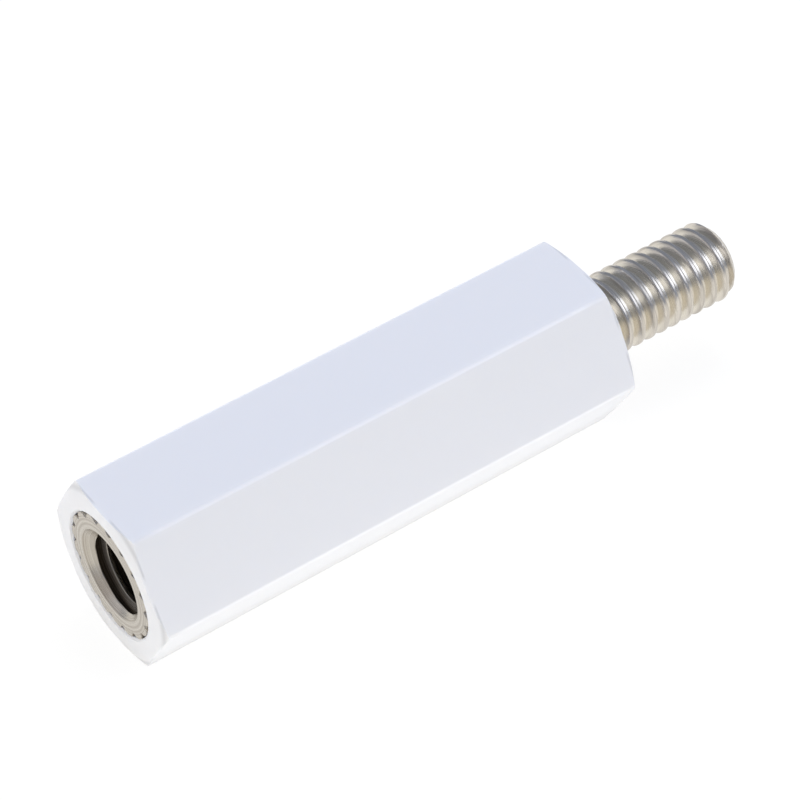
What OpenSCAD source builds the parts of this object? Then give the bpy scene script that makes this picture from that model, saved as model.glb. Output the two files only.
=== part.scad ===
// Insulating hexagon standoff for circuit boards, made of three pieces.
// A moulded polyamide hexagon keeps the two metal ends apart. A knurled bush with a
// blind tapped hole is pressed into one end, and a knurled stud into the other.
// The standoff lies on one flat: its axis runs along X from the centre of the female
// seat face at the origin to the tip of the stud, and Z is up.

/* [Hexagon body] */
// Length between the two seat faces
body_length = 25; // [21:0.5:60]
// Width across the flats
across_flats = 7.8; // [7.4:0.1:12]
// Radius of the six long edges
edge_r = 0.25; // [0.1:0.05:0.6]
// How far the chamfer cuts the corners back at the female end
female_corner_cut = 0.2; // [0.1:0.05:0.4]
// How far the chamfer cuts the corners back at the male end
male_corner_cut = 0.2; // [0.1:0.05:0.4]
// Angle of both corner chamfers, measured from the seat face
corner_cut_angle = 20; // [15:5:45]

/* [Knurled shanks] */
// Diameter over the tips of the knurl, the same on both metal pieces
knurl_d = 6; // [5.8:0.1:6.6]
// Number of grooves round the knurl
knurl_count = 18; // [12:1:24]
// Depth of each knurl groove
knurl_depth = 0.3; // [0.1:0.05:0.35]
// Angle between the two flanks of a knurl groove
knurl_angle = 90; // [60:5:90]
// Width of the ring groove that the plastic springs into, at its floor
ring_groove_w = 1.2; // [0.6:0.1:2.5]
// Depth of the ring groove, from the tips of the knurl
ring_groove_depth = 0.45; // [0.1:0.05:0.5]
// Chamfer on the end of a shank that goes in first
shank_chamfer = 0.4; // [0.1:0.05:0.6]
// How far the metal seat faces lie below the plastic ones
metal_recess = 0.05; // [0:0.01:0.2]
// Chamfer round the mouth of each socket in the plastic
socket_chamfer = 0.1; // [0.05:0.05:0.3]
// Gap between the tips of a knurl and the wall of its socket
socket_gap = 0; // [0:0.01:0.1]

/* [Female bush] */
// Bore of the tapped hole, at the crests of its M4 thread
bore_d = 3.3; // [3.1:0.05:3.5]
// Depth of the bore below the seat face of the bush
bore_depth = 8; // [4:0.5:10]
// Diameter of the countersink at the mouth
countersink_d = 4.4; // [4.1:0.1:4.8]
// Angle of the countersink
countersink_angle = 90; // [60:10:120]
// Angle of the drill point that ends the bore
drill_angle = 118; // [90:2:140]
// Metal left between the drill point and the closed end
bush_floor = 0.7; // [0.3:0.1:2]
// How far the knurl of the bush is turned from the top flat
bush_turn = 7; // [0:1:30]

/* [Male stud] */
// Outer diameter of the M4 thread
stud_d = 3.86; // [3.5:0.02:4]
// Length of the thread beyond the male seat face
stud_length = 8; // [4:0.5:20]
// Chamfer on the tip of the stud
stud_chamfer = 0.35; // [0.1:0.05:0.6]
// Distance from one turn of the thread to the next
thread_pitch = 0.7; // [0.6:0.05:1]
// Depth of the thread, from its crests
thread_depth = 0.35; // [0.1:0.05:0.4]
// Width of the floor between two turns of the thread
thread_floor_w = 0.12; // [0.05:0.01:0.2]
// Angle between the two flanks of the thread
thread_angle = 60; // [50:1:60]
// Plain length of the stud between the male seat face and the first turn
thread_start = 0.25; // [0.1:0.05:1]
// Length of the knurled head inside the body
head_length = 8; // [4:0.5:9]

/* [Hidden] */
$fn = 96;

hex_sides = 6;
side_turn = 360 / hex_sides;
// The hexagon before its long edges are rounded, then the centres of their arcs
sharp_corner_r = across_flats / 2 / cos(side_turn / 2);
arc_centre_r = (across_flats / 2 - edge_r) / cos(side_turn / 2);

knurl_r = knurl_d / 2;
socket_r = knurl_r + socket_gap;
bore_r = bore_d / 2;
countersink_r = countersink_d / 2;
countersink_depth = (countersink_r - bore_r) / tan(countersink_angle / 2);
drill_point = bore_r / tan(drill_angle / 2);
bush_length = bore_depth + drill_point + bush_floor;
stud_r = stud_d / 2;
thread_turns = floor((stud_length - thread_start) / thread_pitch);

// Tools that cut a solid start this far outside it
spare = 1;

// Turns a piece that was drawn standing on Z so that it lies along X
module along_axis() {
    rotate([0, 90, 0]) children();
}

// Places a piece drawn from a seat face inwards at the male end, where it faces back
module at_male_end() {
    translate([0, 0, body_length]) mirror([0, 0, 1]) children();
}

// A hexagon with round corners and two of its flats square to X
module rounded_hexagon() {
    flat_between_arcs = 2 * arc_centre_r * sin(side_turn / 2);
    rotate(side_turn / 2) circle(r = arc_centre_r, $fn = hex_sides);
    for (i = [0 : hex_sides / 2 - 1])
        rotate(i * side_turn) square([across_flats, flat_between_arcs], center = true);
    for (i = [0 : hex_sides - 1])
        rotate((i + 0.5) * side_turn) translate([arc_centre_r, 0]) circle(r = edge_r);
}

// The cone that takes the corners off one end, as a bar turned to a point would be
module corner_cone(cut) {
    land_r = sharp_corner_r - cut / tan(corner_cut_angle);
    far_r = sharp_corner_r + spare;
    far_z = (far_r - land_r) * tan(corner_cut_angle);
    rotate_extrude() polygon([
        [0, 0],
        [land_r, 0],
        [far_r, far_z],
        [far_r, body_length + spare],
        [0, body_length + spare]
    ]);
}

// A round blind socket for a knurled shank, with a lead-in at its mouth
module socket(shank_length) {
    translate([0, 0, -spare]) cylinder(r = socket_r, h = spare + metal_recess + shank_length);
    translate([0, 0, -spare]) cylinder(
        r1 = socket_r + socket_chamfer + spare,
        r2 = socket_r,
        h = spare + socket_chamfer
    );
}

// One groove of the knurl, as a V that opens outwards along X
module knurl_groove() {
    reach = knurl_depth + spare;
    half_width = reach * tan(knurl_angle / 2);
    floor_r = knurl_r - knurl_depth;
    polygon([[floor_r, 0], [floor_r + reach, half_width], [floor_r + reach, -half_width]]);
}

// The end view of a shank: a disc with V grooves that leave flat-topped teeth
module knurl_outline() {
    difference() {
        circle(r = knurl_r);
        for (i = [0 : knurl_count - 1]) rotate(i * 360 / knurl_count) knurl_groove();
    }
}

// The half-section of a groove round an outside of radius r, with both flanks sloping
module groove_section(r, depth, floor_w, flank_angle) {
    half_floor = floor_w / 2;
    half_mouth = half_floor + (depth + spare) * tan(flank_angle);
    polygon([
        [r - depth, -half_floor],
        [r + spare, -half_mouth],
        [r + spare, half_mouth],
        [r - depth, half_floor]
    ]);
}

// A ring that cuts the groove round the middle of a shank
module ring_groove(middle) {
    translate([0, 0, middle]) rotate_extrude()
        groove_section(knurl_r, ring_groove_depth, ring_groove_w, 45);
}

// A ring that chamfers the end of a shank that goes in first
module lead_chamfer(end) {
    translate([0, 0, end]) rotate_extrude() polygon([
        [knurl_r - shank_chamfer - spare, spare],
        [knurl_r + spare, -shank_chamfer - spare],
        [knurl_r + spare, spare]
    ]);
}

// The knurled shank that holds a metal piece in the plastic, from its seat face inwards
module knurled_shank(shank_length) {
    difference() {
        linear_extrude(height = shank_length) knurl_outline();
        ring_groove(shank_length / 2);
        lead_chamfer(shank_length);
    }
}

// The tapped hole at its crest diameter, countersunk, with a drill point at the bottom
module blind_bore() {
    rotate_extrude() polygon([
        [0, -spare],
        [countersink_r + spare * tan(countersink_angle / 2), -spare],
        [bore_r, countersink_depth],
        [bore_r, bore_depth],
        [0, bore_depth + drill_point]
    ]);
}

// The threaded part of the stud with a chamfered tip. Each turn of the thread is a ring
// groove at the thread's own pitch and section, so that its crests stay true cylinders
module stud_shaft() {
    shaft_length = stud_length + metal_recess;
    first_turn = metal_recess + thread_start + thread_pitch / 2;
    rotate_extrude() difference() {
        polygon([
            [0, 0],
            [stud_r, 0],
            [stud_r, shaft_length - stud_chamfer],
            [stud_r - stud_chamfer, shaft_length],
            [0, shaft_length]
        ]);
        for (i = [0 : thread_turns - 1]) translate([0, first_turn + i * thread_pitch])
            groove_section(stud_r, thread_depth, thread_floor_w, thread_angle / 2);
    }
}

module hex_body() {
    color("whitesmoke") along_axis() difference() {
        intersection() {
            linear_extrude(height = body_length) rounded_hexagon();
            corner_cone(female_corner_cut);
            at_male_end() corner_cone(male_corner_cut);
        }
        socket(bush_length);
        at_male_end() socket(head_length);
    }
}

module threaded_insert() {
    color("tan") along_axis() translate([0, 0, metal_recess]) rotate(bush_turn) difference() {
        knurled_shank(bush_length);
        blind_bore();
    }
}

module threaded_stud() {
    color("silver") along_axis() {
        at_male_end() translate([0, 0, metal_recess]) knurled_shank(head_length);
        translate([0, 0, body_length - metal_recess]) stud_shaft();
    }
}

hex_body();
threaded_insert();
threaded_stud();
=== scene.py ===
"""Insulating hexagon standoff: a moulded polyamide body, a knurled tapped bush and a stud.

Shapes are drawn in millimetres along X, from the female seat face to the tip of the stud, and
each finished piece is scaled to metres. Angles round the axis count from +Y towards +Z.
"""

import math

import bmesh
import bpy
from mathutils import Matrix, Vector


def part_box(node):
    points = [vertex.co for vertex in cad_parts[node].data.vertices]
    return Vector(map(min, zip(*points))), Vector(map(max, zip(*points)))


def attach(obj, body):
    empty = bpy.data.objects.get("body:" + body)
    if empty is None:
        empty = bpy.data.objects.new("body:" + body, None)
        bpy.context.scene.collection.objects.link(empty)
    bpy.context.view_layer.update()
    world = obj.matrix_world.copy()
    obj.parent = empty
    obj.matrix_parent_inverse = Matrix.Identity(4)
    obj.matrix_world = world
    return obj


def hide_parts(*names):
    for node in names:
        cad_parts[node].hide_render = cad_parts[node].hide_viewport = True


MM = 0.001
FULL_TURN = 2 * math.pi

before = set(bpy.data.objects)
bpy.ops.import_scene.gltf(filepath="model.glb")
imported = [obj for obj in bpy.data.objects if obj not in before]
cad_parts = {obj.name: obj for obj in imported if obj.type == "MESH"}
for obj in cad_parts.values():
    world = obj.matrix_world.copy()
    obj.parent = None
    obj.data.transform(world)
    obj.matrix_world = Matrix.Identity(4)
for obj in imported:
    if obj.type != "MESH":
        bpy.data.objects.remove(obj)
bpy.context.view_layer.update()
body_box, bush_box, stud_box = (
    [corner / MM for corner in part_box(node)]
    for node in ("hex_body", "threaded_insert", "threaded_stud")
)

# Seats and ends along X, in millimetres
FEMALE_SEAT = body_box[0].x
MALE_SEAT = body_box[1].x
BUSH_FACE = bush_box[0].x
BUSH_END = bush_box[1].x
METAL_RECESS = BUSH_FACE - FEMALE_SEAT
STUD_SHOULDER = MALE_SEAT - METAL_RECESS
HEAD_END = stud_box[0].x
STUD_TIP = stud_box[1].x

# Hexagon: a cone cuts the corners back at both ends, from LAND_R outwards, and a highlight is
# painted on the long edges outside EDGE_HIGHLIGHT_R. The mesh has a loop END_STRIP in from each
# end of a long edge.
SIDES = 6
HALF_SIDE_TURN = math.pi / SIDES
FLAT_R = body_box[1].z
SHARP_CORNER_R = FLAT_R / math.cos(HALF_SIDE_TURN)
EDGE_R = 0.25
EDGE_FACETS = 8
FLAT_STRIPS = 24
END_STRIP = 2
CORNER_CUT = 0.2
CHAMFER_SLOPE = math.tan(math.radians(20))
LAND_R = SHARP_CORNER_R - CORNER_CUT / CHAMFER_SLOPE
EDGE_HIGHLIGHT_R = SHARP_CORNER_R - 0.04

# Knurled shanks, and the sockets that hold them
KNURL_R = 3.0
KNURL_FLOOR_R = 2.7
KNURL_TEETH = 18
BUSH_KNURL_TURN = math.radians(17)
STUD_KNURL_TURN = math.radians(10)
RING_GROOVE_R = 2.55
RING_GROOVE_HALF = 0.6
SHANK_CHAMFER = 0.4
BROKEN_EDGE = 0.02
SOCKET_CHAMFER = 0.1

# M4 thread: the mesh has COLUMNS to a turn and ROWS to a pitch. Counted in rows from the middle
# of its root, a groove has a flat floor, a sloping flank, a shoulder a row wide where the crest
# is rounded over, and the flat crest. SHOULDER is the depth of that shoulder as a share of the
# thread's.
PITCH = 0.7
COLUMNS = 144
ROWS = 24
FLOOR_ROWS = 2
FLANK_ROWS = 7
SHOULDER = 0.04
FLANK_ANGLE = math.radians(30)
THREAD_DEPTH = FLANK_ROWS / ROWS * PITCH / math.tan(FLANK_ANGLE)

# Stud and bore. A phase is the part of a pitch by which the grooves are moved along. The thread
# of the bore runs out past BORE_THREAD_END, and a drill point ends the bore.
STUD_CREST_R = 1.93
STUD_CHAMFER = 0.35
STUD_THREAD_PHASE = 0.12
BORE_CREST_R = 1.65
BORE_DEPTH = 8
BORE_FLAT_END = BUSH_FACE + BORE_DEPTH
BORE_THREAD_END = 7.0
BORE_THREAD_PHASE = 0.94
COUNTERSINK_R = 2.2
DRILL_SLOPE = 1 / math.tan(math.radians(59))

# Vertices nearer than MERGE are one, those within ON_PLANE of a cut lie on it, and an edge that
# turns less than SHARP_ANGLE is shaded round
MERGE = 0.004
ON_PLANE = 1e-5
SHARP_ANGLE = math.radians(40)


# ---------------------------------------------------------------- shapes


def turn_of(vert):
    """Angle round the axis."""
    return math.atan2(vert.co.z, vert.co.y)


def radius_of(vert):
    """Distance from the axis."""
    return math.hypot(vert.co.y, vert.co.z)


def move_to(vert, x, radius):
    """Moves a vertex to a station and a radius at the angle it has."""
    turn = turn_of(vert)
    vert.co = (x, radius * math.cos(turn), radius * math.sin(turn))


def draw_rim(bm, rim, place):
    """Extrudes an open rim. place takes each new vertex and gives its station and radius."""
    made = bmesh.ops.extrude_edge_only(bm, edges=rim)["geom"]
    verts = {part for part in made if isinstance(part, bmesh.types.BMVert)}
    for vert in verts:
        move_to(vert, *place(vert))
    return [
        part for part in made
        if isinstance(part, bmesh.types.BMEdge) and verts.issuperset(part.verts)
    ]


def open_rim(bm, x):
    """The boundary edges that lie at one station."""
    return [
        edge for edge in bm.edges
        if edge.is_boundary and all(abs(vert.co.x - x) < MERGE for vert in edge.verts)
    ]


def close_rim(bm, rim):
    """Fills a rim with one flat face."""
    bmesh.ops.edgeloop_fill(bm, edges=rim)


def finished_piece(bm, name, material, node):
    """Closes, scales and shades a drawn shape, and puts it in the place of its CAD node."""
    bmesh.ops.remove_doubles(bm, verts=bm.verts, dist=MERGE)
    bmesh.ops.recalc_face_normals(bm, faces=bm.faces)
    bmesh.ops.scale(bm, vec=(MM, MM, MM), verts=bm.verts)
    for face in bm.faces:
        face.smooth = True
    for edge in bm.edges:
        edge.smooth = edge.calc_face_angle(0) < SHARP_ANGLE
    mesh = bpy.data.meshes.new(name)
    bm.to_mesh(mesh)
    bm.free()
    mesh.materials.append(material)
    piece = bpy.data.objects.new(name, mesh)
    bpy.context.scene.collection.objects.link(piece)
    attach(piece, "root")
    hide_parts(node)


# Hexagon body


def rounded_hexagon(bm):
    """The rim of a hexagon with round corners and strips across its flats, at mid-length."""
    across = Matrix.Translation((MALE_SEAT / 2, 0, 0)) @ Matrix.Rotation(math.pi / 2, 4, "Y")
    bmesh.ops.create_circle(
        bm, segments=SIDES, radius=SHARP_CORNER_R, cap_ends=True, matrix=across
    )
    bmesh.ops.bevel(
        bm, geom=bm.verts[:], affect="VERTICES", offset_type="OFFSET",
        offset=EDGE_R * math.tan(HALF_SIDE_TURN), segments=EDGE_FACETS, profile=0.5,
        material=-1,
    )
    flats = [edge for edge in bm.edges if edge.calc_length() > 2 * EDGE_R]
    bmesh.ops.subdivide_edges(bm, edges=flats, cuts=FLAT_STRIPS - 1)
    rim = bm.edges[:]
    bmesh.ops.delete(bm, geom=bm.faces[:], context="FACES_ONLY")
    return rim


def body_end(bm, rim, seat, inward, socket_depth):
    """One end of the body: cone-cut corners, a flat seat, and a blind socket for the metal."""

    def cone(radius):
        return seat + inward * max(0, radius - LAND_R) * CHAMFER_SLOPE

    rim = draw_rim(bm, rim, lambda v: (cone(radius_of(v)) + inward * END_STRIP, radius_of(v)))
    rim = draw_rim(bm, rim, lambda v: (cone(radius_of(v)), radius_of(v)))
    draw_rim(bm, rim, lambda v: (seat, min(radius_of(v), LAND_R)))
    bmesh.ops.remove_doubles(bm, verts=bm.verts, dist=MERGE)
    mouth = KNURL_R + SOCKET_CHAMFER
    rim = draw_rim(bm, open_rim(bm, seat), lambda v: (seat, mouth))
    rim = draw_rim(bm, rim, lambda v: (seat + inward * SOCKET_CHAMFER, KNURL_R))
    rim = draw_rim(bm, rim, lambda v: (seat + inward * socket_depth, KNURL_R))
    close_rim(bm, rim)


def hexagon_body(material):
    """The body, drawn from its middle out to both seat faces and into their sockets."""
    bm = bmesh.new()
    rim = rounded_hexagon(bm)
    body_end(bm, rim, FEMALE_SEAT, 1, BUSH_END - FEMALE_SEAT)
    body_end(bm, rim, MALE_SEAT, -1, MALE_SEAT - HEAD_END)
    finished_piece(bm, "hexagon_body", material, "hex_body")


# Threads and knurled shanks


def wound_ribbon(first, last, phase):
    """A ribbon one pitch wide, wound helically so that its turns meet, at radius 1.

    Its rows run along the thread, and row 0 of each turn is the middle of a groove."""
    bm = bmesh.new()
    start = PITCH * (math.floor(first / PITCH) + phase)
    ends = [bm.verts.new((start - PITCH * side, 1, 0)) for side in (1, 0)]
    bmesh.ops.subdivide_edges(bm, edges=[bm.edges.new(ends)], cuts=ROWS - 1)
    bmesh.ops.spin(
        bm, geom=bm.verts[:] + bm.edges[:], cent=(0, 0, 0), axis=(1, 0, 0),
        dvec=(PITCH / COLUMNS, 0, 0), angle=FULL_TURN, steps=COLUMNS,
    )
    one_turn = bm.verts[:] + bm.edges[:] + bm.faces[:]
    more_turns = math.ceil((last - first) / PITCH) + 1
    for turn in range(1, more_turns + 1):
        copied = bmesh.ops.duplicate(bm, geom=one_turn)["geom"]
        verts = [part for part in copied if isinstance(part, bmesh.types.BMVert)]
        bmesh.ops.translate(bm, verts=verts, vec=(PITCH * turn, 0, 0))
    bmesh.ops.remove_doubles(bm, verts=bm.verts, dist=MERGE)
    return bm


def groove_depth(vert, phase):
    """How deep the thread groove is at a vertex of the ribbon: 0 on the crest."""
    along = vert.co.x / PITCH - turn_of(vert) / FULL_TURN - phase
    rows = abs(along - round(along)) * ROWS
    flank = (FLOOR_ROWS + FLANK_ROWS - rows) / FLANK_ROWS
    shoulder = min(SHOULDER, (FLOOR_ROWS + FLANK_ROWS + 1 - rows) * SHOULDER)
    return THREAD_DEPTH * max(0, shoulder, min(1, flank))


def cut_between(bm, first, last):
    """Keeps what lies between two stations, with an open rim at each."""
    for x, outwards in ((first, -1), (last, 1)):
        bmesh.ops.bisect_plane(
            bm, geom=bm.verts[:] + bm.edges[:] + bm.faces[:], dist=ON_PLANE,
            plane_co=(x, 0, 0), plane_no=(outwards, 0, 0), clear_outer=True,
        )


def knurl_r(turn, knurl_turn):
    """Radius of a shank's end view: flat-topped teeth between V grooves."""
    tooth = FULL_TURN / KNURL_TEETH
    off = (turn - knurl_turn) / tooth
    off = (off - round(off)) * tooth
    return min(KNURL_R, KNURL_FLOOR_R / (math.cos(off) - abs(math.sin(off))))


def knurled_shank(bm, rim, face, end, knurl_turn):
    """The shank that the plastic grips, from its seat face to the end that goes in first.

    Each station has a shift of the knurled outline and the most that its radius may be."""
    inward = 1 if end > face else -1
    middle = (face + end) / 2
    groove_top = RING_GROOVE_HALF + KNURL_R - RING_GROOVE_R
    stations = (
        (face, -BROKEN_EDGE, KNURL_R),
        (face + inward * BROKEN_EDGE, 0, KNURL_R),
        (middle - inward * groove_top, 0, KNURL_R),
        (middle - inward * RING_GROOVE_HALF, 0, RING_GROOVE_R),
        (middle + inward * RING_GROOVE_HALF, 0, RING_GROOVE_R),
        (middle + inward * groove_top, 0, KNURL_R),
        (end - inward * SHANK_CHAMFER, 0, KNURL_R),
        (end, 0, KNURL_R - SHANK_CHAMFER),
    )
    for x, shift, most in stations:
        rim = draw_rim(bm, rim, lambda v: (x, min(knurl_r(turn_of(v), knurl_turn) + shift, most)))
    close_rim(bm, rim)


def threaded_stud(material):
    """The stud: a wound thread with a chamfered tip, on a knurled head."""
    run_out = STUD_SHOULDER + PITCH / 2
    bm = wound_ribbon(STUD_SHOULDER - PITCH, STUD_TIP + PITCH, STUD_THREAD_PHASE)
    for vert in bm.verts:
        x = vert.co.x
        radius = STUD_CREST_R - groove_depth(vert, STUD_THREAD_PHASE)
        radius = max(radius, STUD_CREST_R - max(0, x - run_out))
        radius = min(radius, STUD_CREST_R - STUD_CHAMFER + max(0, STUD_TIP - x))
        move_to(vert, x, radius)
    cut_between(bm, STUD_SHOULDER, STUD_TIP)
    close_rim(bm, open_rim(bm, STUD_TIP))
    knurled_shank(bm, open_rim(bm, STUD_SHOULDER), STUD_SHOULDER, HEAD_END, STUD_KNURL_TURN)
    finished_piece(bm, "m4_stud", material, "threaded_stud")


def tapped_bush(material):
    """The bush: a countersunk bore with a wound thread and a drill point, in a knurled shank."""
    bm = wound_ribbon(BUSH_FACE - PITCH, BORE_FLAT_END + PITCH, BORE_THREAD_PHASE)
    for vert in bm.verts:
        x = vert.co.x
        run_out = max(0, THREAD_DEPTH - max(0, x - BORE_THREAD_END))
        radius = BORE_CREST_R + min(run_out, groove_depth(vert, BORE_THREAD_PHASE))
        radius = max(radius, COUNTERSINK_R - (x - BUSH_FACE))
        move_to(vert, x, radius)
    cut_between(bm, BUSH_FACE, BORE_FLAT_END)
    drill_point = BORE_FLAT_END + BORE_CREST_R * DRILL_SLOPE
    draw_rim(bm, open_rim(bm, BORE_FLAT_END), lambda v: (drill_point, 0))
    knurled_shank(bm, open_rim(bm, BUSH_FACE), BUSH_FACE, BUSH_END, BUSH_KNURL_TURN)
    finished_piece(bm, "tapped_bush", material, "threaded_insert")


# ---------------------------------------------------------------- materials

POLYAMIDE_WHITE = "E6E7ED"
# Painted shade, on a thin line round the cut corners at both ends
PAINTED_SHADE_GREY = "D0D1D7"
# Painted highlight, along the six long edges
PAINTED_HIGHLIGHT_WHITE = "EFF0F6"

# Features to a millimetre
MOULD_GRAIN = 6
TOOL_RINGS = 9

# How far the roughness of turned metal goes to either side of its own
GLOSS_SPREAD = 0.03


def linear(hex_colour):
    """An sRGB hex colour as the linear RGBA that the shaders take."""
    channels = [int(hex_colour[i:i + 2], 16) / 255 for i in (0, 2, 4)]
    return [c / 12.92 if c <= 0.04045 else ((c + 0.055) / 1.055) ** 2.4 for c in channels] + [1]


def add(tree, kind, inputs=None, **settings):
    """Adds one node with its settings."""
    node = tree.nodes.new(kind)
    for name, value in settings.items():
        setattr(node, name, value)
    fill(tree, node, inputs or {})
    return node


def fill(tree, node, inputs):
    """Fills a node's inputs, by name or by number, with values, sockets or whole nodes."""
    for name, value in inputs.items():
        socket = next(
            taken for i, taken in enumerate(node.inputs)
            if taken.enabled and name in (i, taken.name)
        )
        if isinstance(value, bpy.types.Node):
            value = next(given for given in value.outputs if given.enabled)
        if isinstance(value, bpy.types.NodeSocket):
            tree.links.new(value, socket)
        else:
            socket.default_value = value


def new_material(name):
    """A material with its node tree and the shader in it."""
    material = bpy.data.materials.new(name)
    material.use_nodes = True
    tree = material.node_tree
    return material, tree, tree.nodes["Principled BSDF"]


def object_mm(tree, scale=(1, 1, 1)):
    """Object coordinates in millimetres, stretched by scale."""
    coords = add(tree, "ShaderNodeTexCoord").outputs["Object"]
    per_mm = [s / MM for s in scale]
    return add(tree, "ShaderNodeMapping", {"Vector": coords, "Scale": per_mm}).outputs["Vector"]


def station_and_radius(tree):
    """Millimetres along the axis, and out from it."""
    along = add(tree, "ShaderNodeSeparateXYZ", {"Vector": object_mm(tree)})
    radius = add(tree, "ShaderNodeVectorMath", {"Vector": object_mm(tree, (0, 1, 1))},
                 operation="LENGTH")
    return along.outputs["X"], radius


def inward_of_seats(tree, along):
    """Millimetres in from the nearer of the two seat faces."""
    half = (MALE_SEAT - FEMALE_SEAT) / 2
    off_middle = add(tree, "ShaderNodeMath", {0: along, 1: FEMALE_SEAT + half},
                     operation="SUBTRACT")
    from_middle = add(tree, "ShaderNodeMath", {0: off_middle}, operation="ABSOLUTE")
    return add(tree, "ShaderNodeMath", {0: half, 1: from_middle}, operation="SUBTRACT")


def painted_shade_line(tree, inward, radius):
    """1 on a thin line of painted shade round both ends, where the cone starts at the six
    corners.
    """
    nearest, full_from, full_to, furthest = 0.02, 0.08, 0.1, 0.17
    half_blur = 0.025
    off_seat = add(tree, "ShaderNodeMapRange", {
        "Value": inward, "From Min": nearest, "From Max": full_from,
    })
    off_body = add(tree, "ShaderNodeMapRange", {
        "Value": inward, "From Min": furthest, "From Max": full_to,
    })
    off_flats = add(tree, "ShaderNodeMapRange", {
        "Value": radius, "From Min": LAND_R - half_blur, "From Max": LAND_R + half_blur,
    })
    line = add(tree, "ShaderNodeMath", {0: off_seat, 1: off_body}, operation="MULTIPLY")
    return add(tree, "ShaderNodeMath", {0: line, 1: off_flats}, operation="MULTIPLY")


def painted_edge_highlight(tree, inward, radius):
    """1 along the six long edges, where a highlight is painted, fading out towards both ends."""
    nearest, full_from = 0.6, 1.5
    blur = 0.025
    on_edge = add(tree, "ShaderNodeMapRange", {
        "Value": radius, "From Min": EDGE_HIGHLIGHT_R - blur, "From Max": EDGE_HIGHLIGHT_R,
    })
    off_ends = add(tree, "ShaderNodeMapRange", {
        "Value": inward, "From Min": nearest, "From Max": full_from,
    })
    return add(tree, "ShaderNodeMath", {0: on_edge, 1: off_ends}, operation="MULTIPLY")


def moulded_polyamide():
    """White polyamide 66 as it leaves the mould: a satin skin that lets a little light in.

    The mould leaves a shallow grain, about 0.15 mm across, that is seen in its gloss. The
    corners are turned off afterwards, and a thin line of painted shade runs round them at both
    ends. A painted highlight runs along the long edges."""
    material, tree, skin = new_material("moulded_white_polyamide")
    along, radius = station_and_radius(tree)
    inward = inward_of_seats(tree, along)
    # Painted shade on the thin line round the cut corners
    with_painted_shade = add(tree, "ShaderNodeMix", {
        "Factor": painted_shade_line(tree, inward, radius),
        "A": linear(POLYAMIDE_WHITE), "B": linear(PAINTED_SHADE_GREY),
    }, data_type="RGBA")
    # Painted highlight along the long edges
    colour = add(tree, "ShaderNodeMix", {
        "Factor": painted_edge_highlight(tree, inward, radius), "A": with_painted_shade, "B": linear(PAINTED_HIGHLIGHT_WHITE),
    }, data_type="RGBA")
    grain = add(tree, "ShaderNodeTexNoise", {
        "Vector": object_mm(tree), "Scale": MOULD_GRAIN, "Detail": 3,
    })
    bump = add(tree, "ShaderNodeBump", {
        "Height": grain, "Strength": 0.15, "Distance": 0.01 * MM,
    })
    gloss = add(tree, "ShaderNodeMapRange", {
        "Value": grain, "From Min": 0.35, "From Max": 0.65, "To Min": 0.28, "To Max": 0.36,
    })
    fill(tree, skin, {
        "Base Color": colour, "Roughness": gloss, "IOR": 1.53, "Normal": bump,
        "Subsurface Weight": 0.2, "Subsurface Radius": (1.0, 0.9, 0.8),
        "Subsurface Scale": 0.4 * MM,
    })
    return material


def turned_nickel(name, colour, ring_colour, painted_root_tone, root_metallic, roughness, in_root):
    """Nickel on turned brass: a warm grey with fine tool rings, another tone down in the thread.

    The real rings are 0.05 mm apart. They are drawn 0.1 to 0.3 mm apart, so that they show,
    and the darker ones are a little rougher. Plating that is thin and dull, as down in a bore,
    is less metallic. The tone down in the thread is painted: shade in a bore, and light in the
    roots of a stud."""
    material, tree, metal = new_material(name)
    along, radius = station_and_radius(tree)
    cone = add(tree, "ShaderNodeMath", {0: along, 1: radius}, operation="SUBTRACT")
    rings = add(tree, "ShaderNodeTexNoise", {
        "W": cone, "Scale": TOOL_RINGS, "Detail": 4, "Roughness": 0.7,
    }, noise_dimensions="1D")
    ring = add(tree, "ShaderNodeMapRange", {"Value": rings, "From Min": 0.4, "From Max": 0.6})
    outside = add(tree, "ShaderNodeMix", {
        "Factor": ring, "A": linear(colour), "B": linear(ring_colour),
    }, data_type="RGBA")
    root = in_root(tree, along, radius)
    tone = add(tree, "ShaderNodeMix", {
        "Factor": root, "A": outside, "B": linear(painted_root_tone),
    }, data_type="RGBA")
    # A metal that is the same all over keeps its number on the shader's own socket
    metallic = 1
    if root_metallic < 1:
        metallic = add(tree, "ShaderNodeMapRange", {
            "Value": root, "To Min": 1, "To Max": root_metallic,
        })
    gloss = add(tree, "ShaderNodeMapRange", {
        "Value": ring, "To Min": roughness - GLOSS_SPREAD, "To Max": roughness + GLOSS_SPREAD,
    })
    bump = add(tree, "ShaderNodeBump", {
        "Height": rings, "Strength": 0.35, "Distance": 0.03 * MM,
    })
    fill(tree, metal, {
        "Base Color": tone, "Metallic": metallic, "Roughness": gloss, "Normal": bump,
    })
    return material


def stud_root(tree, along, radius):
    """1 down in the thread of the stud, and 0 on its crests and its chamfered tip."""
    # Where this is 1 a paler tone is painted in, as light in the roots
    crest_depth, root_depth = 0.05, 0.2
    tip_blur = 0.1
    below_crest = add(tree, "ShaderNodeMapRange", {
        "Value": radius,
        "From Min": STUD_CREST_R - crest_depth, "From Max": STUD_CREST_R - root_depth,
    })
    chamfer = STUD_TIP - STUD_CHAMFER
    before_tip = add(tree, "ShaderNodeMapRange", {
        "Value": along, "From Min": chamfer, "From Max": chamfer - tip_blur,
    })
    return add(tree, "ShaderNodeMath", {0: below_crest, 1: before_tip}, operation="MULTIPLY")


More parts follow.
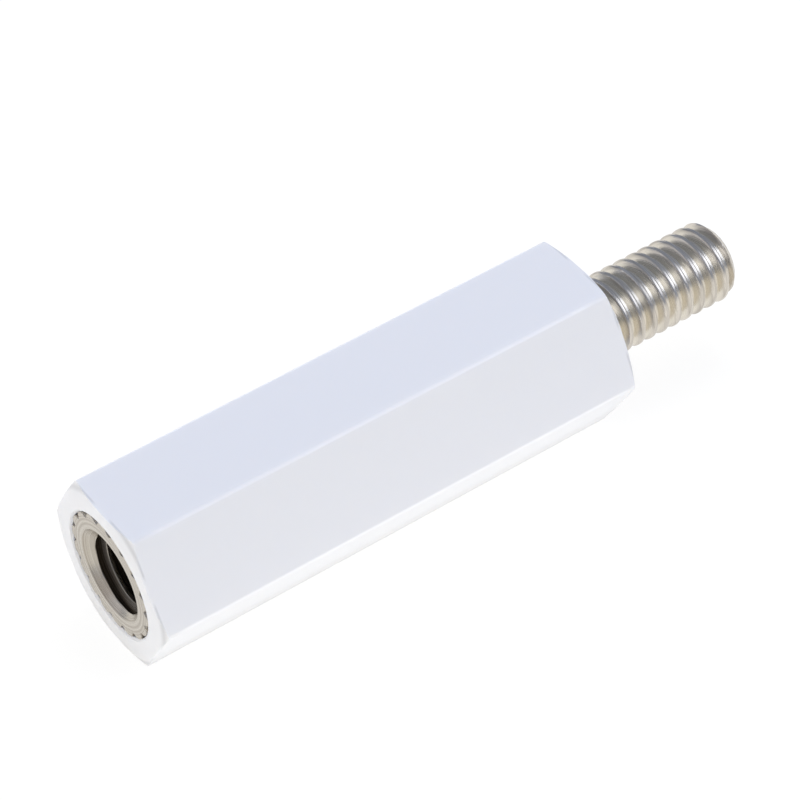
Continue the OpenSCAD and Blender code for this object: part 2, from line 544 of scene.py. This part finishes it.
def bore_root(tree, along, radius):
    """1 behind the crests of the bore and the cone of the countersink, and 0 on the face."""
    # Where this is 1 a dark tone is painted in, as shade down the bore
    root_depth = 0.03
    dark_from, full_from = COUNTERSINK_R - 0.05, COUNTERSINK_R - 0.15
    cone = add(tree, "ShaderNodeMath", {0: COUNTERSINK_R + BUSH_FACE, 1: along},
               operation="SUBTRACT")
    wall = add(tree, "ShaderNodeMath", {0: cone, 1: BORE_CREST_R}, operation="MAXIMUM")
    depth = add(tree, "ShaderNodeMath", {0: radius, 1: wall}, operation="SUBTRACT")
    behind = add(tree, "ShaderNodeMapRange", {
        "Value": depth, "From Min": 0, "From Max": root_depth,
    })
    in_bore = add(tree, "ShaderNodeMapRange", {
        "Value": radius, "From Min": dark_from, "From Max": full_from,
    })
    return add(tree, "ShaderNodeMath", {0: behind, 1: in_bore}, operation="MULTIPLY")


# ---------------------------------------------------------------- studio

# Metres. The table is so wide that its far edge looks level with the eye
TABLE_HALF = 10
BODY_MIDDLE = Vector((0.0125, 0, 0))
LAMP_DISTANCE = 0.5

# Linear light of the plain room round the table
ROOM = (0.31, 0.35, 0.45, 1)


def table_top(material):
    """The table under the standoff."""
    bm = bmesh.new()
    top = Matrix.Translation((0, 0, -FLAT_R * MM))
    bmesh.ops.create_grid(bm, x_segments=1, y_segments=1, size=TABLE_HALF, matrix=top)
    mesh = bpy.data.meshes.new("table")
    bm.to_mesh(mesh)
    bm.free()
    mesh.materials.append(material)
    table = bpy.data.objects.new("table", mesh)
    bpy.context.scene.collection.objects.link(table)


def seen_or_reflected(tree):
    """1 for rays from the camera, and for those that metal or clear plastic sends on."""
    path = add(tree, "ShaderNodeLightPath").outputs
    first = add(tree, "ShaderNodeMath", {0: path["Is Camera Ray"], 1: path["Is Glossy Ray"]},
                operation="MAXIMUM")
    return add(tree, "ShaderNodeMath", {0: first, 1: path["Is Transmission Ray"]},
               operation="MAXIMUM")


def white_card():
    """A glowing white card that shows as the background, and still takes a soft shadow.

    What the camera and the metal see of it is mostly its own glow, and the rest is lit card."""
    glow_strength, glow_share = 1.05, 0.85
    material, tree, _ = new_material("white_card")
    tree.nodes.clear()
    card = add(tree, "ShaderNodeBsdfDiffuse", {"Color": linear("FCFBF7")})
    glow = add(tree, "ShaderNodeEmission", {"Strength": glow_strength})
    share = add(tree, "ShaderNodeMath", {0: seen_or_reflected(tree), 1: glow_share},
                operation="MULTIPLY")
    mixed = add(tree, "ShaderNodeMixShader", {0: share, 1: card, 2: glow})
    add(tree, "ShaderNodeOutputMaterial", {"Surface": mixed})
    return material


def studio_world():
    """Even, slightly blue light from the room."""
    world = bpy.data.worlds.new("studio")
    bpy.context.scene.world = world
    world.use_nodes = True
    tree = world.node_tree
    fill(tree, tree.nodes["Background"], {"Color": ROOM, "Strength": 1})


def lamp(name, width, depth, watts, colour=(1, 1, 1), reflected=False):
    """A flat lamp that faces down and that the camera doesn't see.

    One that isn't reflected lights matt surfaces and doesn't show in the metal."""
    light = bpy.data.lights.new(name, "AREA")
    light.shape = "RECTANGLE"
    light.size = width
    light.size_y = depth
    light.energy = watts
    light.color = colour
    holder = bpy.data.objects.new(name, light)
    holder.visible_camera = False
    holder.visible_glossy = reflected
    bpy.context.scene.collection.objects.link(holder)
    return holder


def soft_box(name, size, watts, colour, azimuth, elevation, reflected=False):
    """A square lamp turned to the standoff. Azimuth 0 is +Y, 90 is +X."""
    holder = lamp(name, size, size, watts, colour, reflected)
    turn, rise = math.radians(azimuth), math.radians(elevation)
    towards = Vector((
        math.sin(turn) * math.cos(rise), math.cos(turn) * math.cos(rise), math.sin(rise)
    ))
    holder.location = towards * LAMP_DISTANCE + BODY_MIDDLE
    holder.rotation_euler = towards.to_track_quat("Z", "Y").to_euler()


def lights():
    """Cool light from the right, plain light from above, and warm light from low down.

    Two faint walls on the left are there for the metal to reflect. The last lamp gives the
    light that a glowing table sends up under the near side."""
    soft_box("key_right", size=0.32, watts=0.68, colour=(0.82, 0.87, 1), azimuth=135,
             elevation=42, reflected=True)
    soft_box("overhead", size=0.35, watts=1.15, colour=(1, 1, 0.97), azimuth=30, elevation=57)
    soft_box("low_back_left", size=0.3, watts=1.6, colour=(1, 0.93, 0.72), azimuth=305,
             elevation=4)
    soft_box("low_front", size=0.3, watts=1.22, colour=(1, 0.87, 0.52), azimuth=190, elevation=5)
    soft_box("left_wall", size=0.4, watts=0.15, colour=(1, 0.8, 0.5), azimuth=265,
             elevation=25, reflected=True)
    soft_box("back_left_wall", size=0.3, watts=0.13, colour=(1, 0.93, 0.86), azimuth=305,
             elevation=17, reflected=True)
    glow = lamp("table_glow", width=0.035, depth=0.02, watts=0.0011)
    glow.location = BODY_MIDDLE + Vector((0, -0.016, -0.0004))


def camera():
    """A plain lens without depth of field, above the near side of the female end."""
    lens = bpy.data.cameras.new("camera")
    lens.lens = 140.5898
    lens.sensor_width = 36
    lens.clip_start = 0.01
    eye = Vector((-39.4830, -79.8870, 98.0973)) * MM
    aim = Vector((15.9609, 1.1473, 0)) * MM
    roll = math.radians(-1.8107)
    level = (aim - eye).to_track_quat("-Z", "Y").to_matrix()
    holder = bpy.data.objects.new("camera", lens)
    holder.rotation_euler = (level @ Matrix.Rotation(roll, 3, "Z")).to_euler()
    holder.location = eye
    bpy.context.scene.collection.objects.link(holder)
    bpy.context.scene.camera = holder


bpy.context.scene.view_settings.view_transform = "Standard"
hexagon_body(moulded_polyamide())
# Down in the bore a dark tone paints in the shade there
tapped_bush(turned_nickel(
    "turned_nickel_bush", colour="C7C0B4", ring_colour="ABA295", painted_root_tone="3E362D",
    root_metallic=0.3, roughness=0.27, in_root=bore_root,
))
# In the stud's roots a paler tone paints in the light that they reflect
threaded_stud(turned_nickel(
    "threaded_nickel_stud", colour="DAD3C8", ring_colour="BEB7AC", painted_root_tone="E1DACC",
    root_metallic=1, roughness=0.28, in_root=stud_root,
))
table_top(white_card())
studio_world()
lights()
camera()
